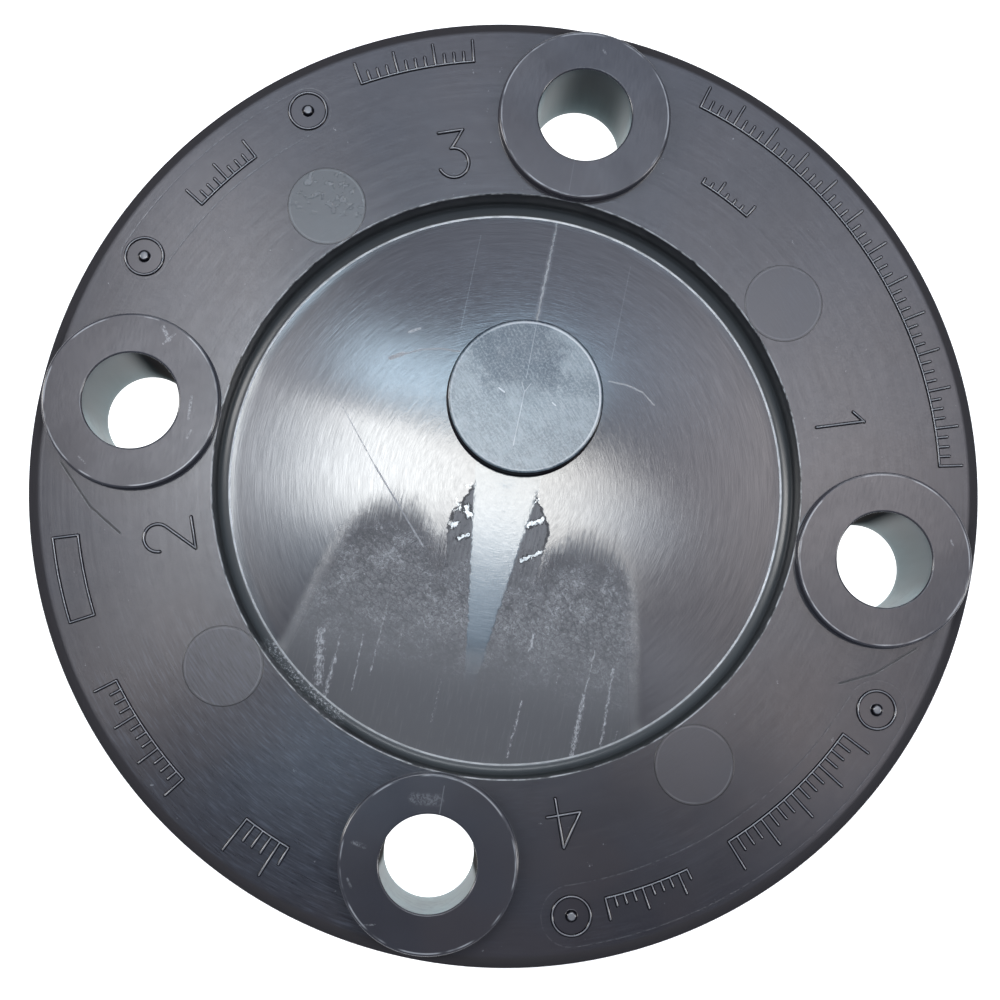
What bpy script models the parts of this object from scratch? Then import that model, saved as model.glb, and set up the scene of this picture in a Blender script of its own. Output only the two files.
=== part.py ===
"""Blind flange for 3 inch pipe, 150 lb drilling, moulded in grey PVC.

The real flange is one injection moulding. Its features are modelled one by one: the plate with its
recess and bolt holes, the four raised washer seats, the gate pad, the bolt order numbers, the ring
marks and the raised tick rows. The gasket face lies on Z = 0 and the washer seats face +Z.
"""
import math

import bmesh
import bpy

MM = 0.001

# Driving dimensions
FLANGE_RADIUS = 95.25 * MM
BOLT_CIRCLE_RADIUS = 76.2 * MM
BOLT_HOLE_RADIUS = 9.525 * MM
BOLT_COUNT = 4
THICKNESS = 27.0 * MM              # gasket face to washer seats
SEAT_RADIUS = 17.4625 * MM
SEAT_HEIGHT = 2.5 * MM
RECESS_RADIUS = 58.85 * MM         # at the rim of the recess
RECESS_DEPTH = 8.0 * MM
RECESS_FILLET = 2.4 * MM
RECESS_WALL_DRAFT = 0.25 * MM
PAD_RADIUS = 15.875 * MM
PAD_HEIGHT = 3.5 * MM
PAD_OFFSET = 18.4 * MM             # from the flange's centre towards +Y
SEAM = 0.05 * MM                   # gap left between a feature and the face that it stands on

# Edges
OUTER_EDGE_RADIUS = 2.2 * MM
GASKET_EDGE_RADIUS = 0.8 * MM
SIDE_DRAFT = 0.2 * MM
RIM_EDGE_RADIUS = 0.4 * MM
SEAT_EDGE_RADIUS = 0.6 * MM
HOLE_EDGE_RADIUS = 0.4 * MM
PAD_EDGE_RADIUS = 0.7 * MM

# Sealing grooves in the gasket face
GROOVE_RADII = [radius * MM for radius in (43.0, 49.0, 55.0)]
GROOVE_WIDTH = 1.2 * MM
GROOVE_DEPTH = 0.4 * MM

# Raised marks
BEAD_RADIUS = 0.38 * MM            # half the width of a raised line, and its height
BEAD_ROUNDNESS = 2
NUMBER_RADIUS = 67.9 * MM
NUMBER_TURN = math.radians(21.1)   # from a bolt hole to its number
NUMBER_SCALE = 1.0 * MM
LINE_STEP = 0.02 * MM              # each further line of a number lies this much lower
RING_MARK_ORBIT = 85.7 * MM
RING_MARK_ANGLES = (130.0, 160.0, 290.0, 340.0)
RING_MARK_RADIUS = 3.75 * MM
RING_MARK_BASE = 0.12 * MM
NUB_RADIUS = 1.1 * MM
NUB_HEIGHT = 0.8 * MM
NUB_EDGE_RADIUS = 0.4 * MM
NUB_TAPER = 0.1 * MM               # how much wider the nub is at its foot
TICK_HEIGHT = 0.35 * MM
TICK_WIDTH = 0.7 * MM
TICK_PITCH = 1.9 * MM
SHORT_TICK = 0.55                  # length of a short tick, as a share of a long one
LONG_TICK_EVERY = 4

# Steps round a turn
PLATE_STEPS = 96
SEAT_STEPS = 72
PAD_STEPS = 64
MARK_STEPS = 40
HOLE_STEPS = 48

# Steps along an arc of a profile or an outline
FILLET_STEPS = 5
RIM_STEPS = 2
OUTER_EDGE_STEPS = 5
GASKET_EDGE_STEPS = 3
SEAT_EDGE_STEPS = 4
HOLE_EDGE_STEPS = 3
PAD_EDGE_STEPS = 4
NUB_STEPS = 3
RING_STEPS = 6
FRAME_STEPS = 8
TWO_STEPS = 14                     # the bow of the number 2
THREE_STEPS = 16                   # the bow of the number 3

# Worked out from the driving dimensions
FACE_Z = THICKNESS - SEAT_HEIGHT
FLOOR_Z = FACE_Z - RECESS_DEPTH
FLOOR_RADIUS = RECESS_RADIUS - RIM_EDGE_RADIUS - RECESS_WALL_DRAFT - RECESS_FILLET
CUT_MARGIN = 5 * MM                # how far a cutter reaches past what it cuts
SLAB_HEIGHT = 2 * MM               # of the block that keeps only what stands above the face
WELD_TURNED = 0.01 * MM
WELD_BEAD = 0.001 * MM

# Each row: name, first and last angle in degrees, inner and outer radius
TICK_ROWS = (
    ("tick_row_torque", 13.8, 75.0, 86.4 * MM, 91.7 * MM),
    ("tick_row_code", 59.8, 69.2, 72.6 * MM, 76.0 * MM),
    ("tick_row_schedule", 106.1, 122.1, 86.2 * MM, 91.4 * MM),
    ("tick_row_material", 139.3, 149.8, 82.8 * MM, 87.8 * MM),
    ("tick_row_pressure", 218.8, 234.8, 85.6 * MM, 91.0 * MM),
    ("tick_row_size", 244.0, 251.3, 82.9 * MM, 91.1 * MM),
    ("tick_row_origin", 294.6, 306.7, 83.2 * MM, 88.2 * MM),
    ("tick_row_maker", 312.9, 335.0, 82.4 * MM, 89.3 * MM),
)
LABEL_FRAME = ("label_frame", 198.9, 210.2, 84.9 * MM, 90.6 * MM)
LABEL_FRAME_LINE = 0.7 * MM


def clear_scene():
    for obj in list(bpy.data.objects):
        bpy.data.objects.remove(obj, do_unlink=True)


def new_collection(name):
    collection = bpy.data.collections.new(name)
    bpy.context.scene.collection.children.link(collection)
    return collection


def new_material(name, colour, roughness):
    material = bpy.data.materials.new(name)
    material.use_nodes = True
    shader = material.node_tree.nodes["Principled BSDF"]
    shader.inputs["Base Color"].default_value = (*colour, 1.0)
    shader.inputs["Roughness"].default_value = roughness
    shader.inputs["Metallic"].default_value = 0.0
    return material


def arc(centre_x, centre_y, radius, start_deg, end_deg, segments):
    """Points along an arc, both ends included."""
    points = []
    for step in range(segments + 1):
        angle = math.radians(start_deg + (end_deg - start_deg) * step / segments)
        points.append((centre_x + radius * math.cos(angle), centre_y + radius * math.sin(angle)))
    return points


def turned(name, profile, closed, steps, collection, material):
    """A solid turned about Z from a profile of (radius, height) points."""
    mesh = bpy.data.meshes.new(name)
    vertices = [(radius, 0.0, height) for radius, height in profile]
    edges = [(index, index + 1) for index in range(len(profile) - 1)]
    if closed:
        edges.append((len(profile) - 1, 0))
    mesh.from_pydata(vertices, edges, [])
    mesh.materials.append(material)
    obj = bpy.data.objects.new(name, mesh)
    collection.objects.link(obj)
    screw = obj.modifiers.new("Turn", "SCREW")
    screw.axis = "Z"
    screw.steps = steps
    screw.render_steps = steps
    screw.use_merge_vertices = True
    screw.merge_threshold = WELD_TURNED
    screw.use_smooth_shade = True
    return obj


def move_to_cutters(obj, cutters):
    for collection in list(obj.users_collection):
        collection.objects.unlink(obj)
    cutters.objects.link(obj)
    obj.hide_render = True
    obj.display_type = "WIRE"


def add_boolean(obj, name, tool, operation):
    boolean = obj.modifiers.new(name, "BOOLEAN")
    boolean.object = tool
    boolean.operation = operation
    boolean.solver = "EXACT"


def bolt_position(index):
    angle = 2 * math.pi * index / BOLT_COUNT
    return BOLT_CIRCLE_RADIUS * math.cos(angle), BOLT_CIRCLE_RADIUS * math.sin(angle)


def plate_profile():
    wall_radius = RECESS_RADIUS - RIM_EDGE_RADIUS
    profile = [(0.0, FLOOR_Z)]
    profile += arc(FLOOR_RADIUS, FLOOR_Z + RECESS_FILLET, RECESS_FILLET, -90, 0, FILLET_STEPS)
    profile += arc(wall_radius + RIM_EDGE_RADIUS, FACE_Z - RIM_EDGE_RADIUS,
                   RIM_EDGE_RADIUS, 180, 90, RIM_STEPS)
    profile += arc(FLANGE_RADIUS - OUTER_EDGE_RADIUS, FACE_Z - OUTER_EDGE_RADIUS,
                   OUTER_EDGE_RADIUS, 90, 0, OUTER_EDGE_STEPS)
    profile += arc(FLANGE_RADIUS - SIDE_DRAFT - GASKET_EDGE_RADIUS, GASKET_EDGE_RADIUS,
                   GASKET_EDGE_RADIUS, 0, -90, GASKET_EDGE_STEPS)
    for radius in reversed(GROOVE_RADII):
        profile.append((radius + GROOVE_WIDTH / 2, 0.0))
        profile.append((radius + GROOVE_WIDTH / 4, GROOVE_DEPTH))
        profile.append((radius - GROOVE_WIDTH / 4, GROOVE_DEPTH))
        profile.append((radius - GROOVE_WIDTH / 2, 0.0))
    profile.append((0.0, 0.0))
    return profile


def build_plate(parts, cutters, material):
    plate = turned("flange_plate", plate_profile(), False, PLATE_STEPS, parts, material)
    for index in range(BOLT_COUNT):
        x, y = bolt_position(index)
        bpy.ops.mesh.primitive_cylinder_add(vertices=HOLE_STEPS, radius=BOLT_HOLE_RADIUS,
                                            depth=THICKNESS + 2 * CUT_MARGIN,
                                            location=(x, y, THICKNESS / 2))
        drill = bpy.context.object
        drill.name = f"bolt_drill_{index + 1}"
        move_to_cutters(drill, cutters)
        add_boolean(plate, f"Bolt hole {index + 1}", drill, "DIFFERENCE")


def build_washer_seats(parts, material):
    top = SEAT_HEIGHT - SEAM
    profile = [(BOLT_HOLE_RADIUS, 0.0)]
    profile += arc(BOLT_HOLE_RADIUS + HOLE_EDGE_RADIUS, top - HOLE_EDGE_RADIUS,
                   HOLE_EDGE_RADIUS, 180, 90, HOLE_EDGE_STEPS)
    profile += arc(SEAT_RADIUS - SEAT_EDGE_RADIUS, top - SEAT_EDGE_RADIUS,
                   SEAT_EDGE_RADIUS, 90, 0, SEAT_EDGE_STEPS)
    profile.append((SEAT_RADIUS, 0.0))
    for index in range(BOLT_COUNT):
        seat = turned(f"washer_seat_{index + 1}", profile, True, SEAT_STEPS, parts, material)
        x, y = bolt_position(index)
        seat.location = (x, y, FACE_Z + SEAM)


def build_gate_pad(parts, material):
    top = PAD_HEIGHT - SEAM
    profile = [(0.0, top)]
    profile += arc(PAD_RADIUS - PAD_EDGE_RADIUS, top - PAD_EDGE_RADIUS,
                   PAD_EDGE_RADIUS, 90, 0, PAD_EDGE_STEPS)
    profile += [(PAD_RADIUS, 0.0), (0.0, 0.0)]
    pad = turned("gate_pad", profile, False, PAD_STEPS, parts, material)
    pad.location = (0.0, PAD_OFFSET, FLOOR_Z + SEAM)


def number_strokes():
    """The lines of each bolt order number, in millimetres: +X to its right and +Y to its top."""
    one = [[(-2.9, 3.0), (-0.6, 4.85)], [(-0.9, 4.75), (-1.0, -4.9)]]
    two = [arc(-0.15, 2.05, 2.75, 180, -45, TWO_STEPS) + [(-3.3, -5.0)], [(-3.4, -5.0), (2.95, -5.0)]]
    three = [[(-2.4, 4.6), (2.6, 4.6)], [(2.7, 4.73), (-0.45, 0.85)],
             arc(-0.3, -1.95, 3.05, 98, -160, THREE_STEPS)]
    four = [[(0.9, 4.75), (-3.4, -1.6)], [(-3.5, -1.6), (3.2, -1.6)], [(1.0, 4.5), (1.0, -4.9)]]
    return one, three, two, four


def bead(name, points, collection, material):
    """A round bar along points in the XY plane, as a mesh with its caps welded."""
    curve = bpy.data.curves.new(name, "CURVE")
    curve.dimensions = "3D"
    curve.bevel_depth = BEAD_RADIUS
    curve.bevel_resolution = BEAD_ROUNDNESS
    curve.use_fill_caps = True
    spline = curve.splines.new("POLY")
    spline.points.add(len(points) - 1)
    for point, (x, y) in zip(spline.points, points):
        point.co = (x, y, 0.0, 1.0)
    source = bpy.data.objects.new(name, curve)
    bpy.context.scene.collection.objects.link(source)
    bpy.context.view_layer.update()
    evaluated = source.evaluated_get(bpy.context.evaluated_depsgraph_get())
    mesh = bpy.data.meshes.new_from_object(evaluated)
    bpy.data.objects.remove(source, do_unlink=True)
    surface = bmesh.new()
    surface.from_mesh(mesh)
    bmesh.ops.remove_doubles(surface, verts=surface.verts, dist=WELD_BEAD)
    surface.to_mesh(mesh)
    surface.free()
    mesh.name = name
    mesh.materials.clear()
    mesh.materials.append(material)
    obj = bpy.data.objects.new(name, mesh)
    collection.objects.link(obj)
    return obj


def place_outward(obj, angle, orbit):
    """Stands the object on the face at a polar place, with its own +Y pointing outward."""
    obj.location = (orbit * math.cos(angle), orbit * math.sin(angle), FACE_Z)
    obj.rotation_euler = (0.0, 0.0, angle - math.pi / 2)


def build_bolt_numbers(parts, cutters, material):
    bpy.ops.mesh.primitive_cube_add(size=1.0, location=(0.0, 0.0, FACE_Z + SEAM + SLAB_HEIGHT / 2))
    slab = bpy.context.object
    slab.name = "above_face"
    slab_width = 2 * (FLANGE_RADIUS + CUT_MARGIN)
    slab.scale = (slab_width, slab_width, SLAB_HEIGHT)
    move_to_cutters(slab, cutters)
    names = ("bolt_number_1", "bolt_number_3", "bolt_number_2", "bolt_number_4")
    for index, (name, strokes) in enumerate(zip(names, number_strokes())):
        angle = 2 * math.pi * index / BOLT_COUNT + NUMBER_TURN
        number = None
        for stroke_index, stroke in enumerate(strokes):
            points = [(x * NUMBER_SCALE, y * NUMBER_SCALE) for x, y in stroke]
            if number is None:
                number = bead(name, points, parts, material)
                place_outward(number, angle, NUMBER_RADIUS)
            else:
                line = bead(f"{name}_line_{stroke_index}", points, cutters, material)
                place_outward(line, angle, NUMBER_RADIUS)
                line.location.z -= stroke_index * LINE_STEP
                move_to_cutters(line, cutters)
                add_boolean(number, f"Line {stroke_index}", line, "UNION")
        add_boolean(number, "Above the face", slab, "INTERSECT")


def build_ring_marks(parts, material):
    profile = [(0.0, NUB_HEIGHT)]
    profile += arc(NUB_RADIUS - NUB_EDGE_RADIUS, NUB_HEIGHT - NUB_EDGE_RADIUS,
                   NUB_EDGE_RADIUS, 90, 0, NUB_STEPS)
    profile.append((NUB_RADIUS + NUB_TAPER, RING_MARK_BASE))
    profile += arc(RING_MARK_RADIUS, RING_MARK_BASE, BEAD_RADIUS, 180, 0, RING_STEPS)
    profile += [(RING_MARK_RADIUS + BEAD_RADIUS, 0.0), (0.0, 0.0)]
    for index, degrees in enumerate(RING_MARK_ANGLES):
        mark = turned(f"ring_mark_{index + 1}", profile, False, MARK_STEPS, parts, material)
        place_outward(mark, math.radians(degrees), RING_MARK_ORBIT)
        mark.location.z = FACE_Z + SEAM


def flat_raised(name, outlines, parts, material):
    """A flat raised shape on the face, from closed outlines in the XY plane."""
    curve = bpy.data.curves.new(name, "CURVE")
    curve.dimensions = "2D"
    curve.fill_mode = "BOTH"
    curve.extrude = TICK_HEIGHT / 2
    for outline in outlines:
        spline = curve.splines.new("POLY")
        spline.use_cyclic_u = True
        spline.points.add(len(outline) - 1)
        for point, (x, y) in zip(spline.points, outline):
            point.co = (x, y, 0.0, 1.0)
    curve.materials.append(material)
    obj = bpy.data.objects.new(name, curve)
    parts.objects.link(obj)
    obj.location.z = FACE_Z + SEAM + TICK_HEIGHT / 2
    return obj


def tick_row_outline(first_deg, last_deg, inner_radius, outer_radius):
    """A graduated arc: a line along the inner radius with ticks standing outward on it."""
    half_tick = math.degrees(TICK_WIDTH / 2 / inner_radius)
    first, last = first_deg + half_tick, last_deg - half_tick
    spaces = max(2, round(math.radians(last - first) * inner_radius / TICK_PITCH))
    outline = []
    back = []
    for tick in range(spaces + 1):
        middle = first + (last - first) * tick / spaces
        share = 1.0 if tick % LONG_TICK_EVERY == 0 else SHORT_TICK
        tip = inner_radius + (outer_radius - inner_radius) * share
        root = inner_radius + TICK_WIDTH
        for radius, side in ((root, -1), (tip, -1), (tip, 1), (root, 1)):
            turn = math.radians(middle + side * half_tick)
            outline.append((radius * math.cos(turn), radius * math.sin(turn)))
        for side in (-1, 1):
            turn = math.radians(middle + side * half_tick)
            back.append((inner_radius * math.cos(turn), inner_radius * math.sin(turn)))
    return outline + back[::-1]


def sector_outline(first_deg, last_deg, inner_radius, outer_radius, inset):
    side = math.degrees(inset / inner_radius)
    return (arc(0.0, 0.0, outer_radius - inset, first_deg + side, last_deg - side, FRAME_STEPS)
            + arc(0.0, 0.0, inner_radius + inset, last_deg - side, first_deg + side, FRAME_STEPS))


def build_tick_rows(parts, material):
    for name, first_deg, last_deg, inner_radius, outer_radius in TICK_ROWS:
        flat_raised(name, [tick_row_outline(first_deg, last_deg, inner_radius, outer_radius)],
                    parts, material)
    name, *place = LABEL_FRAME
    flat_raised(name, [sector_outline(*place, 0.0), sector_outline(*place, LABEL_FRAME_LINE)],
                parts, material)


def main():
    clear_scene()
    parts = new_collection("blind_flange")
    cutters = new_collection("cutters")
    body_grey = new_material("pvc_body", (0.105, 0.105, 0.12), 0.35)
    seat_grey = new_material("pvc_seats", (0.11, 0.11, 0.125), 0.32)
    pad_grey = new_material("pvc_pad", (0.12, 0.125, 0.145), 0.42)
    mark_grey = new_material("pvc_marks", (0.10, 0.10, 0.115), 0.30)
    build_plate(parts, cutters, body_grey)
    build_washer_seats(parts, seat_grey)
    build_gate_pad(parts, pad_grey)
    build_bolt_numbers(parts, cutters, mark_grey)
    build_ring_marks(parts, mark_grey)
    build_tick_rows(parts, mark_grey)


main()
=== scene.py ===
"""Looks of the moulded PVC blind flange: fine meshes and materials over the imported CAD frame."""
import math

import bmesh
import bpy
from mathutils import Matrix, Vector


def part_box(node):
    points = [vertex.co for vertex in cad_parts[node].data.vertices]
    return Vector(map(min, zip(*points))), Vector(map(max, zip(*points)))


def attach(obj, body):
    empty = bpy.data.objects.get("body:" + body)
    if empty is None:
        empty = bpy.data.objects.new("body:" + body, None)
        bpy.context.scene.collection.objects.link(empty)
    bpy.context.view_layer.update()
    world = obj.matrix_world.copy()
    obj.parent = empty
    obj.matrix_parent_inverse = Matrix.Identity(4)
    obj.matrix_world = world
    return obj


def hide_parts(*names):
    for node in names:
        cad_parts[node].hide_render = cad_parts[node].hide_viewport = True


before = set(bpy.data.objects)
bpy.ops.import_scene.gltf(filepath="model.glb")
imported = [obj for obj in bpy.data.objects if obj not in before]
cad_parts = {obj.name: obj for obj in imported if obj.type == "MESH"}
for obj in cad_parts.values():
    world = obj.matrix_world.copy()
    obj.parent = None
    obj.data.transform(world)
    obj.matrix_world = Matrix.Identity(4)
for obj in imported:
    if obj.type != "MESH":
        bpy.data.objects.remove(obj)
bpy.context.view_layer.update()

MM = 0.001
BODY = "root"


# ---------------------------------------------------------------- sizes read from the frame

def box_centre(node):
    low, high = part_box(node)
    return (Vector(low) + Vector(high)) / 2


def box_size(node):
    low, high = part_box(node)
    return Vector(high) - Vector(low)


SEATS = [f"washer_seat_{number}" for number in (1, 2, 3, 4)]
FLANGE_RADIUS = box_size("flange_plate").x / 2
FACE_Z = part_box("flange_plate")[1][2]
FACE_MM = FACE_Z / MM
SEAT_TOP_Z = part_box(SEATS[0])[1][2]
SEAT_RADIUS = box_size(SEATS[0]).x / 2
BOLT_CIRCLE_RADIUS = box_centre(SEATS[0]).x
PAD_CENTRE = box_centre("gate_pad")
PAD_RADIUS = box_size("gate_pad").x / 2
PAD_TOP_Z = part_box("gate_pad")[1][2]

# Sizes that no box gives, as in the CAD
BOLT_HOLE_RADIUS = 9.525 * MM
RECESS_RADIUS = 58.85 * MM
RECESS_DEPTH = 8.0 * MM
RECESS_FILLET = 2.4 * MM
RIM_EDGE = 0.28 * MM
WALL_DRAFT = 0.25 * MM
FLOOR_Z = FACE_Z - RECESS_DEPTH
FLOOR_RADIUS = RECESS_RADIUS - RIM_EDGE - WALL_DRAFT - RECESS_FILLET
OUTER_EDGE = 2.2 * MM
GASKET_EDGE = 0.8 * MM
SIDE_DRAFT = 0.2 * MM
PARTING_Z = FACE_Z - OUTER_EDGE - 1.7 * MM
SIDE_FLARE = 0.3 * MM
GROOVE_RADII = [radius * MM for radius in (43.0, 49.0, 55.0)]
GROOVE_WIDTH = 1.2 * MM
GROOVE_DEPTH = 0.4 * MM

# Sizes of the visual alone
PARTING_STEP = 0.07 * MM
FLAT_MARGIN = 0.06 * MM
HOLE_DRAFT = 0.22 * MM
SUNK = 0.3 * MM
DRILL_RADIUS = BOLT_HOLE_RADIUS + 0.35 * MM
DRILL_TOP = 40 * MM
DRILL_BOTTOM = -10 * MM
PLATE_STEPS = 360
RING_STEPS = 192
DISC_STEPS = 128
MARK_STEPS = 96

BEAD_RADIUS = 0.38 * MM
BEAD_HEIGHT = 0.36 * MM
NUMBER_RADIUS = 67.9 * MM
NUMBER_TURN = math.radians(21.1)
RING_MARK_ORBIT = 85.7 * MM
RING_MARK_ANGLES = (130.0, 160.0, 290.0, 340.0)
RING_MARK_RADIUS = 3.75 * MM
EJECTOR_ORBIT = 66.7 * MM
EJECTOR_RADIUS = 7.9375 * MM
EJECTOR_ANGLES = (45.0, 135.0, 225.0, 315.0)

TICK_PITCH = 1.9 * MM
SHORT_TICK = 0.55
LONG_TICK_EVERY = 4
# Node, first and last angle, inner and outer radius
TICK_ROWS = (
    ("tick_row_torque", 13.8, 75.0, 86.4 * MM, 91.7 * MM),
    ("tick_row_code", 59.8, 69.2, 72.6 * MM, 76.0 * MM),
    ("tick_row_schedule", 106.1, 122.1, 86.2 * MM, 91.4 * MM),
    ("tick_row_material", 139.3, 149.8, 82.8 * MM, 87.8 * MM),
    ("tick_row_pressure", 218.8, 234.8, 85.6 * MM, 91.0 * MM),
    ("tick_row_size", 244.0, 251.3, 82.9 * MM, 91.1 * MM),
    ("tick_row_origin", 294.6, 306.7, 83.2 * MM, 88.2 * MM),
    ("tick_row_maker", 312.9, 335.0, 82.4 * MM, 89.3 * MM),
)
LABEL_FRAME = (198.9, 210.2, 84.9 * MM, 90.6 * MM)

# Colours, linear
PVC = (0.019, 0.019, 0.024)
PVC_LIGHT = (0.030, 0.031, 0.038)
PVC_DARK = (0.014, 0.014, 0.018)
PVC_COOL = (0.014, 0.022, 0.036)
PVC_WARM = (0.040, 0.030, 0.028)
# Painted light: a paler copy of the PVC for the side wall and gasket face
PVC_SIDE_PAINTED_LIGHT = (0.048, 0.050, 0.060)
PVC_CHALKY = (0.046, 0.048, 0.054)
# Pale for scuffs, flecks, pits and knit lines, and also for painted highlights on crests, rims and edges
SCUFF_AND_HIGHLIGHT = (0.34, 0.36, 0.38)
# Pale for the rubbed stretch of the recess wall, and for the painted highlight lines along its rim and foot
RUBBED_EDGE_AND_HIGHLIGHT = (0.55, 0.58, 0.60)
EDGE_SHADE = (0.026, 0.025, 0.027)
# Painted shade: near black in sunk creases and round the ejector marks' edges
CREASE_SHADE = (0.004, 0.004, 0.005)
# Painted shade: near black down the flanks of raised lines
FLANK_SHADE = (0.002, 0.002, 0.003)
PITTED_GREY = (0.038, 0.046, 0.050)
STROKE_PALE = (0.056, 0.066, 0.086)
STROKE_DARK = (0.006, 0.006, 0.009)
ARC_PALE = (0.050, 0.060, 0.076)
# Recess wall: painted near black as a dark reflection, and paler at its foot as a painted highlight
WALL_DARK_REFLECTION = (0.008, 0.009, 0.010)
WALL_FOOT_HIGHLIGHT = (0.026, 0.031, 0.033)
LOBE_PALE = (0.105, 0.109, 0.116)
# Painted shade in the hollows of the lobes' ripples
RIPPLE_SHADE = (0.040, 0.042, 0.048)
WEB_DARK = (0.025, 0.026, 0.030)
# Painted reflection in the smooth gaps between the tongues' scales
GAP_REFLECTION = (0.27, 0.31, 0.33)
# Painted shade in the sunk outlines of the tongues' scales
OUTLINE_SHADE = (0.010, 0.010, 0.012)
# The smooth streak's pale blues: a painted reflection of the light over it
STREAK_REFLECTION_BLUE = (0.045, 0.064, 0.082)
STREAK_REFLECTION_PALE = (0.105, 0.132, 0.150)
STREAK_REFLECTION_TOP = (0.050, 0.066, 0.076)
# Pad tones: its pale blue is partly a painted reflection, with painted shade, a painted highlight glow and a
# near-black painted shade for its side wall
PAD_DEEP = (0.024, 0.040, 0.052)
PAD_CLOUD = (0.066, 0.090, 0.106)
PAD_SHADE = (0.009, 0.018, 0.034)
PAD_GLOW = (0.090, 0.116, 0.130)
PAD_SPECKLE = (0.105, 0.132, 0.148)
PAD_STROKE = (0.115, 0.140, 0.155)
PAD_STROKE_DARK = (0.012, 0.026, 0.040)
PAD_SIDE_SHADE = (0.004, 0.003, 0.004)
# Hole walls: pale blue-green painted as light from the floor, painted shade at the top and in dark patches,
# painted highlight crescents
BORE_LIT_DEEP = (0.036, 0.086, 0.100)
BORE_LIT_PALE = (0.075, 0.142, 0.158)
BORE_TOP_SHADE = (0.030, 0.058, 0.068)
BORE_CRESCENT_HIGHLIGHT = (0.160, 0.250, 0.270)
BORE_SHADE_PATCH = (0.034, 0.030, 0.029)

PVC_IOR = 1.53
BUMP_DISTANCE = 0.00002



# ---------------------------------------------------------------- mesh helpers

def arc(centre_x, centre_y, radius, start_deg, end_deg, segments):
    """Points along an arc, both ends included."""
    points = []
    for step in range(segments + 1):
        angle = math.radians(start_deg + (end_deg - start_deg) * step / segments)
        points.append((centre_x + radius * math.cos(angle), centre_y + radius * math.sin(angle)))
    return points


def polar(radius, degrees):
    angle = math.radians(degrees)
    return radius * math.cos(angle), radius * math.sin(angle)


def add_object(name, data):
    obj = bpy.data.objects.new(name, data)
    bpy.context.scene.collection.objects.link(obj)
    return obj


def new_piece(name, mesh, material, nodes=()):
    mesh.name = name
    mesh.materials.append(material)
    obj = add_object(name, mesh)
    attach(obj, BODY)
    if nodes:
        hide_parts(*nodes)


def mesh_from(surface, name):
    """Turns a bmesh into a mesh and frees it."""
    mesh = bpy.data.meshes.new(name)
    surface.to_mesh(mesh)
    surface.free()
    return mesh


def smooth(mesh, sharp_deg=35.0):
    mesh.shade_smooth()
    mesh.set_sharp_from_angle(angle=math.radians(sharp_deg))


def lathe(profile, steps, centre=(0.0, 0.0), closed=False):
    """A mesh turned about the vertical through centre, from (radius, height) points."""
    surface = bmesh.new()
    rings = []
    for radius, height in profile:
        if radius == 0.0:
            rings.append([surface.verts.new((centre[0], centre[1], height))])
            continue
        ring = []
        for step in range(steps):
            angle = 2 * math.pi * step / steps
            ring.append(surface.verts.new((centre[0] + radius * math.cos(angle),
                                           centre[1] + radius * math.sin(angle), height)))
        rings.append(ring)
    pairs = list(zip(rings, rings[1:]))
    if closed:
        pairs.append((rings[-1], rings[0]))
    for upper, lower in pairs:
        for step in range(steps):
            after = (step + 1) % steps
            corners = []
            for vertex in (upper[step % len(upper)], lower[step % len(lower)],
                           lower[after % len(lower)], upper[after % len(upper)]):
                if vertex not in corners:
                    corners.append(vertex)
            if len(corners) > 2:
                surface.faces.new(corners)
    mesh = mesh_from(surface, "turned")
    smooth(mesh)
    return mesh


def evaluated_mesh(obj):
    bpy.context.view_layer.update()
    return bpy.data.meshes.new_from_object(obj.evaluated_get(bpy.context.evaluated_depsgraph_get()))


def sweep(surface, points, radius, sides=12, cap_rings=4):
    """Adds a round bar with hemispherical ends along points to a bmesh."""
    path = [Vector(point) for point in points]
    count = len(path)
    rings = []

    def ring(centre, along, size):
        side = along.cross(Vector((0, 0, 1))).normalized()
        up = side.cross(along).normalized()
        corners = []
        for step in range(sides):
            angle = 2 * math.pi * step / sides
            corners.append(surface.verts.new(centre + size * (math.cos(angle) * side
                                                              + math.sin(angle) * up)))
        rings.append(corners)

    first = (path[1] - path[0]).normalized()
    last = (path[-1] - path[-2]).normalized()
    tip = surface.verts.new(path[0] - first * radius)
    for step in range(1, cap_rings):
        angle = math.pi / 2 * step / cap_rings
        ring(path[0] - first * radius * math.cos(angle), first, radius * math.sin(angle))
    for index, centre in enumerate(path):
        before = path[max(index - 1, 0)]
        after = path[min(index + 1, count - 1)]
        ring(centre, (after - before).normalized(), radius)
    for step in range(cap_rings - 1, 0, -1):
        angle = math.pi / 2 * step / cap_rings
        ring(path[-1] + last * radius * math.cos(angle), last, radius * math.sin(angle))
    end = surface.verts.new(path[-1] + last * radius)
    for step in range(sides):
        after = (step + 1) % sides
        surface.faces.new((tip, rings[0][after], rings[0][step]))
        surface.faces.new((end, rings[-1][step], rings[-1][after]))
    for here, there in zip(rings, rings[1:]):
        for step in range(sides):
            after = (step + 1) % sides
            surface.faces.new((here[step], here[after], there[after], there[step]))


def bead_mesh(strokes, radius, height, base_z):
    """Raised round lines: each stroke is a list of (x, y) points, and height stands above base_z."""
    surface = bmesh.new()
    for stroke in strokes:
        sweep(surface, [(x, y, base_z + height - radius) for x, y in stroke], radius)
    bmesh.ops.recalc_face_normals(surface, faces=surface.faces)
    mesh = mesh_from(surface, "beads")
    mesh.shade_smooth()
    return mesh


# ---------------------------------------------------------------- node helpers

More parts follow.
